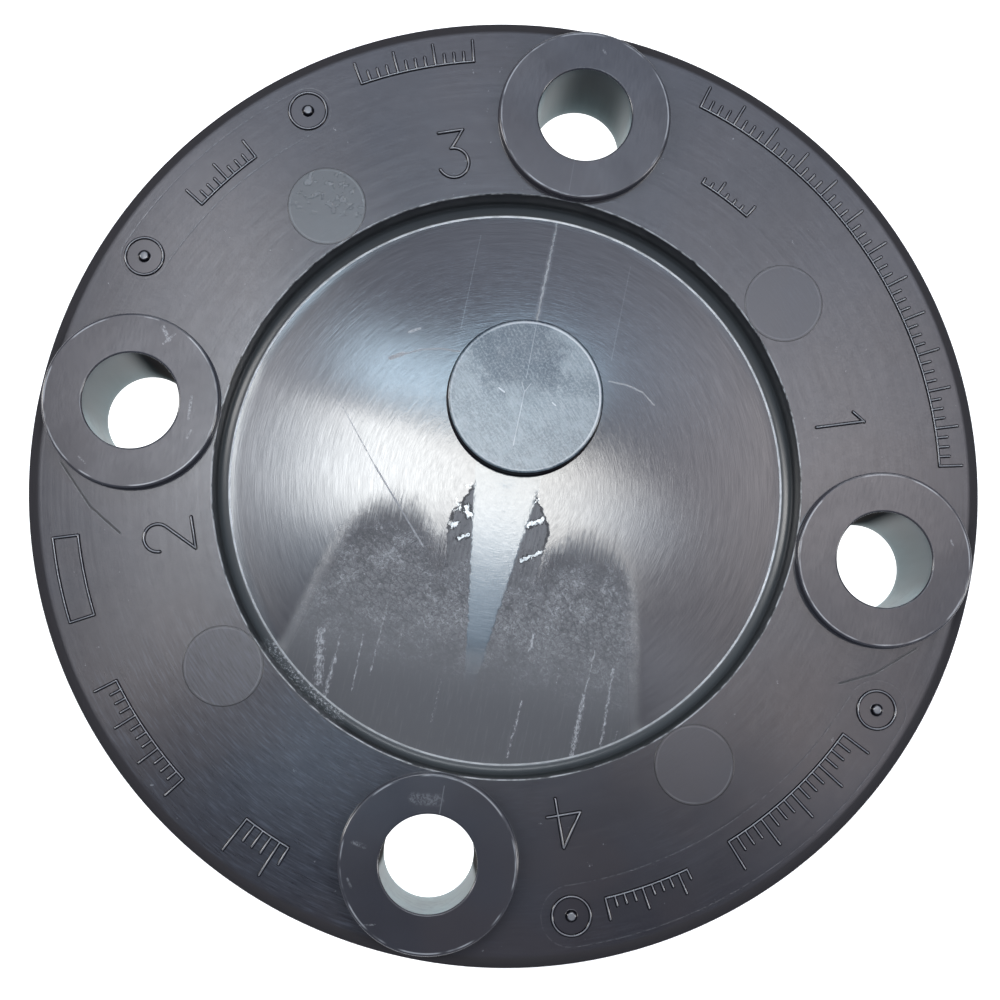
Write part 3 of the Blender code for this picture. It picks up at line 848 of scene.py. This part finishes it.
def recess_floor_material():
    """Turned floor with glossy fans of light, two dull flow lobes, a smooth streak painted pale blue as a
    reflection, and rubbed lines.
    """
    look = Look("pvc_recess_floor", 0.20)
    x, y = look.x, look.y
    down = y * -1.0
    rings = look.turned(5.0, 7.0)
    coarse_rings = look.turned(1.2, 3.5)
    fine_rag = look.noise(0.9, 3.0, 0.6)
    lobe, inside = flow_lobes(look, down, fine_rag)
    streak, half, off_centre = streak_shape(look, down, fine_rag)
    tongue, gaps, outlines, tongue_zone = tongue_shapes(look, down, fine_rag, streak, off_centre - half)
    lobe = look.most(lobe, tongue) * (1.0 - streak) * (1.0 - gaps)
    warp = look.noise(0.16, 2.0) * 9.0
    ripple = look.noise(2.4, 4.0, 0.8, look.combine(x + warp, y + warp), 0.3)
    ripple_zone = down.ramp(44.0, 22.0) * down.ramp(8.0, 15.0)
    scuffs, knit, knit_glow = rubbed_lines(look)

    tint = look.mix(look.noise(0.06), PVC, PVC_LIGHT)
    arc_zone = y.ramp(10.0, 22.0) * look.radius.ramp(54.0, 44.0)
    tint = look.stroked(tint, look.turned(5.0, 20.0), arc_zone, ARC_PALE, 0.45, 0.3)
    lobe_tint = look.mix(down.ramp(46.0, 22.0) * inside.ramp(1.0, 10.0), PVC_CHALKY, LOBE_PALE)
    fine_drawn = look.drawn(x, y, 1.8, 0.15)
    lobe_tint = look.mix(fine_drawn.ramp(0.50, 0.80, 0.0, 0.35), lobe_tint, LOBE_PALE)
    lobe_tint = wrinkled_tint(look, lobe_tint, down, ripple, ripple_zone)
    lobe_tint = look.mix(tongue_zone * fine_drawn.ramp(0.35, 0.65, 0.3, 0.8), lobe_tint, LOBE_PALE)
    tint = look.mix(lobe, tint, lobe_tint)
    # Painted reflection in the gaps and painted shade along the sunk outlines
    tint = look.mix(gaps, tint, GAP_REFLECTION)
    tint = look.mix(outlines * 0.9, tint, OUTLINE_SHADE)
    pebbles = look.noise(2.6, 2.0).ramp(0.35, 0.65)
    # Painted reflection: the smooth streak is tinted pale blue as the light it mirrors, darker right under
    # the gate
    streak_reflection_tint = look.mix(down.ramp(34.0, 9.0), STREAK_REFLECTION_BLUE, STREAK_REFLECTION_PALE)
    streak_reflection_tint = look.mix(down.ramp(14.0, 0.0), streak_reflection_tint, STREAK_REFLECTION_TOP)
    tint = look.mix(streak * look.blend(pebbles, 0.85, 1.0), tint, streak_reflection_tint)
    tint = look.mix(look.most(scuffs * 0.85, knit * 0.62, knit_glow), tint, SCUFF_AND_HIGHLIGHT)
    look.give("Base Color", tint)
    shine = (look.blend(rings.ramp(0.35, 0.65), 0.43, 0.57)
             * look.blend(coarse_rings.ramp(0.35, 0.65), 0.94, 1.06))
    look.give("Specular IOR Level", look.blend(lobe, shine, 0.25))
    rough = look.blend(lobe, look.blend(rings, 0.030, 0.060), 0.34)
    look.give("Roughness", look.blend(look.most(scuffs, knit), rough, 0.7))
    look.lay_grain(look.blend(look.most(lobe, streak), 0.82, 0.2))
    height = rings * 0.6 + coarse_rings * 0.3 + lobe * ripple * ripple_zone * -9.0 + outlines * -2.0
    look.bump(height, 0.3)
    return look.material


# A short forked line, the knit line's end and two rubbed spots on the pad
PAD_LINES = (
    ((-0.4, 19.2), (-0.4, 8.0), 0.14, 0.32),
    ((-0.4, 19.2), (-1.3, 21.0), 0.13, 0.32),
    ((-0.4, 19.2), (0.5, 21.0), 0.13, 0.32),
    ((-0.8, 34.0), (-0.6, 22.0), 0.12, 0.2),
    ((-5.6, 18.9), (-4.4, 18.3), 0.20, 0.6),
    ((5.6, 18.2), (6.3, 17.8), 0.18, 0.5),
)


def pad_material():
    """Satin gate pad: speckle and diagonal strokes, pale blue partly as a painted reflection, painted shade
    towards the top, a painted highlight on the rim's upper right side, and painted shade on its side wall.
    """
    look = Look("pvc_gate_pad", 0.34)
    x, y = look.x, look.y
    middle = PAD_CENTRE.y / MM
    edge = PAD_RADIUS / MM
    top = PAD_TOP_Z / MM
    speckle = look.noise(2.2, 3.0, 0.7)
    clouds = look.noise(0.16, 4.0, 0.65).ramp(0.38, 0.62)
    brushed = look.drawn(y - x, y + x, 0.25, 1.7, 4.0, 0.75)
    # Painted shade over the pad's upper part, and a painted highlight glow near its middle
    shade_spot = look.distance(look.flat, (-2.2, middle + 9.0, 0.0))
    shaded_top = (shade_spot + clouds * 3.5).ramp(13.5, 7.5)
    bright_spot = look.distance(look.flat, (0.8, middle - 1.0, 0.0))
    tint = look.mix(clouds, PAD_DEEP, PAD_CLOUD)
    tint = look.mix(shaded_top * 0.75, tint, PAD_SHADE)
    tint = look.mix(bright_spot.ramp(7.0, 1.5, 0.0, 0.40), tint, PAD_GLOW)
    tint = look.mix(speckle.ramp(0.46, 0.60) * 0.45, tint, PAD_SPECKLE)
    tint = look.mix(brushed.ramp(0.50, 0.66, 0.0, 0.40), tint, PAD_STROKE)
    tint = look.mix(brushed.ramp(0.50, 0.36, 0.0, 0.40), tint, PAD_STROKE_DARK)
    reach = look.length(look.vector("SUBTRACT", look.flat, (0.0, middle, 0.0)))
    # Painted highlight along the rim, strongest on its upper right side
    rim_highlight_side = (x + (y - middle)).ramp(-4.0, 12.0, 0.25, 1.0)
    tint = look.mix(reach.band(edge - 0.80, edge - 0.55, 0.15) * rim_highlight_side * 0.7, tint, SCUFF_AND_HIGHLIGHT)
    tint = look.mix(look.lines(look.flat, PAD_LINES), tint, SCUFF_AND_HIGHLIGHT)
    # Painted shade: the pad's side wall is near black
    side = look.z.ramp(top - 0.05, top - 0.22)
    look.give("Base Color", look.mix(side, tint, PAD_SIDE_SHADE))
    mottle = (clouds.ramp(0.0, 1.0, 0.92, 1.12) * shaded_top.ramp(0.0, 1.0, 1.14, 0.80)
              * speckle.ramp(0.40, 0.62, 0.86, 1.12) * brushed.ramp(0.36, 0.66, 0.84, 1.14))
    look.give("Specular IOR Level", look.blend(side, mottle * 0.5, 0.10))
    look.give("Roughness", look.blend(speckle, look.blend(clouds, 0.12, 0.20), 0.26))
    look.bump(speckle, 0.2)
    return look.material


# ---------------------------------------------------------------- bolt holes

# Painted dark shade patches and painted pale highlight crescents in the holes: plan place of each, its reach
# and its strength, in mm
BORE_SHADE_PATCHES = (
    ((70.9, 7.8), 9.5, 1.0), ((-72.0, 8.6), 9.2, 1.0), ((9.4, -74.4), 3.4, 1.0), ((-9.4, -76.4), 3.4, 1.0),
    ((1.6, 85.6), 11.0, 0.45),
)
BORE_HIGHLIGHT_CRESCENTS = (
    ((-9.5, 76.4), 4.5, 0.8), ((9.5, 75.4), 4.5, 0.8), ((-81.8, -7.7), 6.5, 1.0), ((82.5, -7.0), 6.0, 0.8),
    ((0.0, -85.7), 13.0, 1.0),
)
# At the shallow angles in the holes only a very low specular level dims the reflection
BORE_SPECULAR = 0.16
BORE_SHADE_SPECULAR = 0.0006


def bore_material():
    """Hole walls: smooth, lit by the pale floor through them and painted pale blue-green as that light,
    darker towards the top as painted shade, with patches of painted shade on the side of the middle and
    crescents of painted highlight.
    """
    look = Look("pvc_bore", 0.40)

    def patches(spots):
        return look.most(*[look.distance(look.flat, (*spot, 0.0)).ramp(reach, reach * 0.3) * strength
                           for spot, reach, strength in spots])

    shade_patch = patches(BORE_SHADE_PATCHES) * look.z.ramp(-12.0, 10.0)
    crescent_highlight = patches(BORE_HIGHLIGHT_CRESCENTS) * look.noise(0.5, 4.0, 0.7).ramp(0.3, 0.6, 0.6, 1.0)
    streaks = look.noise(1.0, at=look.combine(look.x * 0.6, look.y * 0.6, look.z * 0.05))
    # Painted light: the walls' pale blue-green stands in for the floor's light through the holes
    tint = look.mix(streaks, BORE_LIT_DEEP, BORE_LIT_PALE)
    # Painted shade: darker towards the top of each hole
    tint = look.mix(look.z.ramp(6.0, 25.0), tint, BORE_TOP_SHADE)
    tint = look.mix(crescent_highlight, tint, BORE_CRESCENT_HIGHLIGHT)
    look.give("Base Color", look.mix(shade_patch, tint, BORE_SHADE_PATCH))
    shine = look.most(look.math("POWER", 1.0 - shade_patch, 4.0), BORE_SHADE_SPECULAR)
    look.give("Specular IOR Level", shine * BORE_SPECULAR)
    return look.material


# ---------------------------------------------------------------- pieces

def plate_profile():
    """Half section of the plate, from the middle of the recess out, down and back under it."""
    edge_start = FLANGE_RADIUS - SIDE_FLARE - OUTER_EDGE
    profile = [(0.0, FLOOR_Z)]
    profile += [(radius * MM, FLOOR_Z) for radius in (8, 16, 24, 32, 40, 48, 54)]
    profile += arc(FLOOR_RADIUS, FLOOR_Z + RECESS_FILLET, RECESS_FILLET, -90, -3, 16)
    profile += arc(RECESS_RADIUS, FACE_Z - RIM_EDGE, RIM_EDGE, 177, 90, 8)
    profile += [(RECESS_RADIUS + FLAT_MARGIN, FACE_Z), (edge_start - FLAT_MARGIN, FACE_Z)]
    profile += arc(edge_start, FACE_Z - OUTER_EDGE, OUTER_EDGE, 90, 2, 14)
    # The mould's parting line is a small step in the side wall
    below_step = FLANGE_RADIUS - PARTING_STEP
    bottom_radius = FLANGE_RADIUS - SIDE_DRAFT
    profile += [(FLANGE_RADIUS, PARTING_Z + 0.05 * MM), (FLANGE_RADIUS - 0.06 * MM, PARTING_Z),
                (below_step, PARTING_Z - 0.1 * MM)]
    profile += [(below_step + (bottom_radius - below_step) * share,
                 PARTING_Z + (GASKET_EDGE - PARTING_Z) * share) for share in (0.25, 0.5, 0.75)]
    profile += arc(bottom_radius - GASKET_EDGE, GASKET_EDGE, GASKET_EDGE, 0, -90, 8)
    for radius in reversed(GROOVE_RADII):
        profile.append((radius + GROOVE_WIDTH / 2, 0.0))
        profile.append((radius + GROOVE_WIDTH / 4, GROOVE_DEPTH))
        profile.append((radius - GROOVE_WIDTH / 4, GROOVE_DEPTH))
        profile.append((radius - GROOVE_WIDTH / 2, 0.0))
    profile.append((0.0, 0.0))
    return profile


def build_plate(face, recess_floor, recess_wall):
    """The plate, drilled a little wider than the bolt holes, whose walls belong to the seats."""
    plate = add_object("plate", lathe(plate_profile(), PLATE_STEPS))
    drill_profile = [(0.0, DRILL_TOP), (DRILL_RADIUS, DRILL_TOP),
                     (DRILL_RADIUS, DRILL_BOTTOM), (0.0, DRILL_BOTTOM)]
    drills = []
    for index in range(4):
        x, y = polar(BOLT_CIRCLE_RADIUS, 90 * index)
        drill = add_object(f"drill_{index}", lathe(drill_profile, DISC_STEPS, (x, y)))
        cut = plate.modifiers.new("Hole", "BOOLEAN")
        cut.object = drill
        cut.operation = "DIFFERENCE"
        cut.solver = "EXACT"
        drills.append(drill)
    drilled = evaluated_mesh(plate)
    for scrap in drills + [plate]:
        bpy.data.objects.remove(scrap, do_unlink=True)
    smooth(drilled)
    new_piece("flange_plate_moulding", drilled, face, ["flange_plate"])
    drilled.materials.append(recess_floor)
    drilled.materials.append(recess_wall)
    for polygon in drilled.polygons:
        centre = polygon.center
        reach = math.hypot(centre.x, centre.y)
        if centre.z < FLOOR_Z - 0.02 * MM or reach > RECESS_RADIUS:
            continue
        polygon.material_index = 1 if reach < FLOOR_RADIUS else 2


def build_seats(seat_pvc, bore_pvc):
    """Each seat with its hole's wall, as one ring that reaches down to the gasket face."""
    hole_top = BOLT_HOLE_RADIUS
    hole_bottom = BOLT_HOLE_RADIUS - HOLE_DRAFT
    sleeve = hole_bottom + 0.5 * MM
    hole_edge = 0.3 * MM
    top_edge = 0.35 * MM
    outer_edge = 0.4 * MM
    base_fillet = 0.15 * MM
    margin = 0.05 * MM
    profile = [(sleeve, 0.0)]
    profile += arc(hole_bottom + hole_edge, hole_edge, hole_edge, 270, 180, 4)
    profile += [(hole_bottom + (hole_top - hole_bottom) * share, SEAT_TOP_Z * share)
                for share in (0.1, 0.3, 0.5, 0.7, 0.9)]
    profile += arc(hole_top + top_edge, SEAT_TOP_Z - top_edge, top_edge, 180, 90, 8)
    profile += [(hole_top + top_edge + margin, SEAT_TOP_Z), (SEAT_RADIUS - outer_edge - margin, SEAT_TOP_Z)]
    profile += arc(SEAT_RADIUS - outer_edge, SEAT_TOP_Z - outer_edge, outer_edge, 90, 2, 8)
    profile += arc(SEAT_RADIUS + base_fillet, FACE_Z + base_fillet, base_fillet, 180, 270, 5)
    profile += [(SEAT_RADIUS + base_fillet, FACE_Z - SUNK), (hole_bottom + 0.9 * MM, FACE_Z - SUNK),
                (sleeve, FACE_Z - 2 * SUNK)]
    for index, node in enumerate(SEATS):
        x, y = polar(BOLT_CIRCLE_RADIUS, 90 * index)
        mesh = lathe(profile[::-1], RING_STEPS, (x, y), closed=True)
        new_piece(f"washer_seat_{index + 1}_ring", mesh, seat_pvc, [node])
        mesh.materials.append(bore_pvc)
        for polygon in mesh.polygons:
            centre = polygon.center
            if math.hypot(centre.x - x, centre.y - y) < hole_top and centre.z < SEAT_TOP_Z - top_edge:
                polygon.material_index = 1


def build_gate_pad(material):
    edge = 0.55 * MM
    fillet = 0.2 * MM
    profile = [(0.0, PAD_TOP_Z), (8 * MM, PAD_TOP_Z), (PAD_RADIUS - edge - 0.05 * MM, PAD_TOP_Z)]
    profile += arc(PAD_RADIUS - edge, PAD_TOP_Z - edge, edge, 90, 2, 8)
    profile += arc(PAD_RADIUS + fillet, FLOOR_Z + fillet, fillet, 180, 270, 5)
    profile += [(PAD_RADIUS + fillet, FLOOR_Z - SUNK), (0.0, FLOOR_Z - SUNK)]
    mesh = lathe(profile, RING_STEPS, (PAD_CENTRE.x, PAD_CENTRE.y))
    new_piece("gate_pad_disc", mesh, material, ["gate_pad"])


def build_ejector_marks(material):
    """Discs that stand hardly proud of the face. No CAD node has them, so they replace none."""
    proud = edge = 0.07 * MM
    profile = [(0.0, FACE_Z + proud), (EJECTOR_RADIUS - edge - 0.03 * MM, FACE_Z + proud)]
    profile += arc(EJECTOR_RADIUS - edge, FACE_Z + proud - edge, edge, 90, 0, 4)
    profile += [(EJECTOR_RADIUS, FACE_Z - SUNK), (0.0, FACE_Z - SUNK)]
    for index, degrees in enumerate(EJECTOR_ANGLES):
        mesh = lathe(profile, DISC_STEPS, polar(EJECTOR_ORBIT, degrees))
        new_piece(f"ejector_mark_{index + 1}", mesh, material)


def number_strokes():
    """The lines of the numbers 1, 3, 2 and 4, in millimetres: +X to their right and +Y to their top."""
    one = [[(-2.9, 3.0), (-0.6, 4.85)], [(-0.7, 4.85), (-1.0, -4.9)]]
    two = [arc(-0.15, 2.05, 2.75, 180, -45, 24) + [(-3.3, -5.0)], [(-3.3, -5.0), (2.95, -5.0)]]
    three = [[(-2.4, 4.6), (2.6, 4.6)], [(2.6, 4.6), (-0.3, 1.1)], arc(-0.3, -1.95, 3.05, 92, -160, 28)]
    four = [[(0.9, 4.75), (-3.4, -1.6)], [(-3.4, -1.6), (3.2, -1.6)], [(1.0, 4.6), (1.0, -4.9)]]
    return one, three, two, four


def build_bolt_numbers(material):
    """The bolt order numbers, each a little past its hole going round from +X."""
    names = ("bolt_number_1", "bolt_number_3", "bolt_number_2", "bolt_number_4")
    for index, (name, strokes) in enumerate(zip(names, number_strokes())):
        angle = math.radians(90 * index) + NUMBER_TURN
        outward = Vector((math.cos(angle), math.sin(angle)))
        right = Vector((outward.y, -outward.x))
        centre = outward * NUMBER_RADIUS
        placed = [[tuple(centre + right * x * MM + outward * y * MM) for x, y in stroke]
                  for stroke in strokes]
        mesh = bead_mesh(placed, BEAD_RADIUS, BEAD_HEIGHT, FACE_Z)
        new_piece(f"{name}_line", mesh, material, [name])


def build_ring_marks(material):
    """A nub in the middle of a low disc, with a raised ring round it."""
    base_z = FACE_Z + 0.05 * MM
    nub = 1.05 * MM
    nub_edge = 0.45 * MM
    nub_top = FACE_Z + 0.8 * MM
    foot = 0.15 * MM
    line = 0.34 * MM
    profile = [(0.0, nub_top)]
    profile += arc(nub - nub_edge, nub_top - nub_edge, nub_edge, 90, 5, 6)
    profile += arc(nub + 0.25 * MM, base_z + foot, foot, 200, 270, 4)
    profile += [(nub + 0.32 * MM, base_z), (RING_MARK_RADIUS - line - 0.08 * MM, base_z)]
    profile += arc(RING_MARK_RADIUS, base_z, line, 180, 0, 12)
    profile += [(RING_MARK_RADIUS + line, FACE_Z - 0.2 * MM), (0.0, FACE_Z - 0.2 * MM)]
    for index, degrees in enumerate(RING_MARK_ANGLES):
        mesh = lathe(profile, MARK_STEPS, polar(RING_MARK_ORBIT, degrees))
        node = f"ring_mark_{index + 1}"
        new_piece(f"{node}_disc", mesh, material, [node])


def build_tick_rows(material):
    """Rows of ticks on a base line, and the empty label frame."""
    line = BEAD_RADIUS
    bead = (line * 0.92, BEAD_HEIGHT - 0.04 * MM, FACE_Z)
    for name, first_deg, last_deg, inner, outer in TICK_ROWS:
        margin = math.degrees(line / inner)
        first, last = first_deg + margin, last_deg - margin
        spaces = max(2, round(math.radians(last - first) * inner / TICK_PITCH))
        strokes = [arc(0.0, 0.0, inner + line, first, last, spaces * 2)]
        for tick in range(spaces + 1):
            degrees = first + (last - first) * tick / spaces
            share = 1.0 if tick % LONG_TICK_EVERY == 0 else SHORT_TICK
            tip = inner + (outer - inner) * share - line
            strokes.append([polar(inner + line, degrees), polar(tip, degrees)])
        new_piece(f"{name}_line", bead_mesh(strokes, *bead), material, [name])
    first_deg, last_deg, inner, outer = LABEL_FRAME
    margin = math.degrees(line / inner)
    outline = (arc(0.0, 0.0, outer - line, first_deg + margin, last_deg - margin, 12)
               + arc(0.0, 0.0, inner + line, last_deg - margin, first_deg + margin, 12))
    sides = [outline[:13], outline[12:14], outline[13:], [outline[-1], outline[0]]]
    new_piece("label_frame_line", bead_mesh(sides, *bead), material, ["label_frame"])


# ---------------------------------------------------------------- stage, light and camera

STAGE_RADIUS = 5.0
STAGE_GAP = 0.2 * MM


def build_stage():
    surface = bmesh.new()
    bmesh.ops.create_circle(surface, cap_ends=True, segments=96, radius=STAGE_RADIUS)
    floor = add_object("floor", mesh_from(surface, "floor"))
    floor.location.z = -STAGE_GAP
    look = Look("floor_white", 0.9, specular=0.0)
    look.give("Base Color", (0.9, 0.9, 0.9))
    look.give("Emission Color", (1.0, 1.0, 1.0))
    # It glows to print white round the flange, and most under it, where it lights the holes
    look.give("Emission Strength", look.radius.ramp(90.0, 88.0, 0.35, 1.0) * 1.3)
    floor.data.materials.append(look.material)


# The studio overhead, as the flange sees it. A place is a pair of slopes from the vertical, x / z and
# y / z, so 0.1 is about 6 degrees.
# Panels: x from and to, y from and to, colour, brightness, and how softly they end across x, before
# their first y and past their last y
SKY_PANELS = (
    ((-0.060, 0.034), (0.105, 0.147), (1.0, 0.99, 0.95), 16.0, (0.075, 0.038, 0.002)),
    ((-0.066, 0.015), (0.162, 0.174), (0.74, 1.00, 1.20), 11.0, (0.045, 0.010, 0.032)),
)
# The x from which the panels lean down, and how steeply
PANEL_LEAN = (0.06, 0.35)
# Glows: centre, half widths, colour, brightness
SKY_GLOWS = (
    ((-0.080, 0.112), (0.070, 0.055), (0.84, 0.97, 1.10), 6.5),
    ((0.080, 0.114), (0.032, 0.022), (0.82, 0.96, 1.12), 4.0),
    ((0.055, 0.196), (0.050, 0.035), (0.66, 0.95, 1.28), 1.5),
    ((0.012, 0.062), (0.022, 0.046), (0.86, 1.00, 1.14), 5.0),
    ((0.118, 0.035), (0.035, 0.030), (0.90, 0.97, 1.1), 1.5),
    ((0.190, 0.170), (0.10, 0.13), (1.0, 0.91, 0.90), 3.9),
    ((0.225, 0.010), (0.04, 0.035), (1.0, 0.84, 0.78), 2.4),
    ((-0.175, 0.130), (0.060, 0.14), (1.0, 0.95, 0.97), 4.7),
    ((-0.150, 0.010), (0.035, 0.035), (0.97, 0.97, 1.0), 2.8),
    ((-0.190, 0.240), (0.040, 0.040), (1.0, 0.92, 0.88), 2.2),
    ((-0.190, -0.040), (0.030, 0.022), (1.0, 0.84, 0.76), 2.0),
    ((-0.062, -0.046), (0.040, 0.014), (0.70, 0.95, 1.25), 5.0),
    ((0.00, 0.34), (0.30, 0.20), (0.86, 0.93, 1.10), 1.7),
)
# The soft disc of light that the pad alone mirrors: centre, radius to fade from and to, colour, brightness
SKY_DISC = ((0.012, 0.176), (0.028, 0.042), (0.62, 0.96, 1.26), 6.0)
SKY_COLOUR = (0.80, 0.89, 1.10)
SKY_STRENGTH = 0.55
# The sky is darkest near the vertical, where a camera would stand in its light
SHADE_PLACE = (0.02, -0.12)
SHADE_REACH = (0.10, 0.42)
SHADE_LEVEL = 0.12
# Slopes are kept finite at the horizon and below it
LEAST_HEIGHT = 0.02


def build_sky():
    world = bpy.data.worlds.new("studio")
    bpy.context.scene.world = world
    world.use_nodes = True
    graph = Graph(world.node_tree)
    x, y, z = graph.split(graph.put("ShaderNodeTexCoord", "Generated"))
    height = graph.most(z, LEAST_HEIGHT)
    slope_x = x / height
    slope_y = y / height

    def square_sum(a, b):
        return a * a + b * b

    def away_from(place):
        return graph.math("SQRT", square_sum(slope_x - place[0], slope_y - place[1]))

    def lit(colour, brightness, share):
        return graph.scale(tuple(channel * brightness for channel in colour), share)

    total = lit(SKY_COLOUR, SKY_STRENGTH, away_from(SHADE_PLACE).ramp(*SHADE_REACH, SHADE_LEVEL, 1.0))
    lean_from, lean = PANEL_LEAN
    leaning_y = slope_y + graph.most(slope_x - lean_from, 0.0) * lean
    for across, along, colour, brightness, soft in SKY_PANELS:
        panel = (slope_x.band(*across, soft[0]) * leaning_y.ramp(along[0] - soft[1], along[0])
                 * leaning_y.ramp(along[1] + soft[2], along[1]))
        total = graph.vector("ADD", total, lit(colour, brightness, panel))
    for (centre_x, centre_y), (reach_x, reach_y), colour, brightness in SKY_GLOWS:
        square = square_sum((slope_x - centre_x) / reach_x, (slope_y - centre_y) / reach_y)
        glow = graph.math("EXPONENT", square * -1.0)
        total = graph.vector("ADD", total, lit(colour, brightness, glow))
    centre, (inner, outer), colour, brightness = SKY_DISC
    total = graph.vector("ADD", total, lit(colour, brightness, away_from(centre).ramp(outer, inner)))
    background = world.node_tree.nodes["Background"]
    graph.feed(background.inputs["Color"], total)
    background.inputs["Strength"].default_value = 1.0


# Name, place, width and height, power and colour
SOFTBOXES = (
    ("softbox_left", (-0.95, 0.05, 0.85), (0.25, 0.9), 10.0, (1.0, 0.98, 0.96)),
    ("softbox_right", (0.95, 0.05, 0.85), (0.25, 0.9), 8.0, (1.0, 0.98, 0.96)),
    ("softbox_back", (0.0, 1.0, 0.85), (0.9, 0.25), 5.0, (0.90, 0.95, 1.0)),
)
SOFTBOX_AIM = (0.0, 0.0, 0.02)


def build_softboxes():
    for name, place, (width, height), power, colour in SOFTBOXES:
        data = bpy.data.lights.new(name, "AREA")
        data.shape = "RECTANGLE"
        data.size = width
        data.size_y = height
        data.energy = power
        data.color = colour
        light = add_object(name, data)
        light.location = place
        light.rotation_euler = (Vector(SOFTBOX_AIM) - Vector(place)).to_track_quat("-Z", "Y").to_euler()


# The photo's camera, solved from the outer edge, the holes' rims and the recess rim
CAMERA_PLACE = (-4.63 * MM, -42.8 * MM, FACE_Z + 344.4 * MM)
CAMERA_TURN = (6.17, -1.944, 11.785)
CAMERA_LENS = 62.8


def build_camera():
    data = bpy.data.cameras.new("camera")
    data.sensor_width = 36.0
    data.lens = CAMERA_LENS
    data.clip_start = 0.01
    data.clip_end = 20.0
    camera = add_object("camera", data)
    camera.location = CAMERA_PLACE
    camera.rotation_euler = [math.radians(angle) for angle in CAMERA_TURN]
    bpy.context.scene.camera = camera


# ---------------------------------------------------------------- assembly

bpy.context.scene.view_settings.view_transform = "Standard"
build_camera()
build_stage()
build_sky()
build_softboxes()

build_plate(face_material(), recess_floor_material(), wall_material())
build_seats(seat_material(), bore_material())
build_gate_pad(pad_material())
build_ejector_marks(ejector_material())
mark_pvc = mark_material()
build_bolt_numbers(mark_pvc)
build_ring_marks(mark_pvc)
build_tick_rows(mark_pvc)
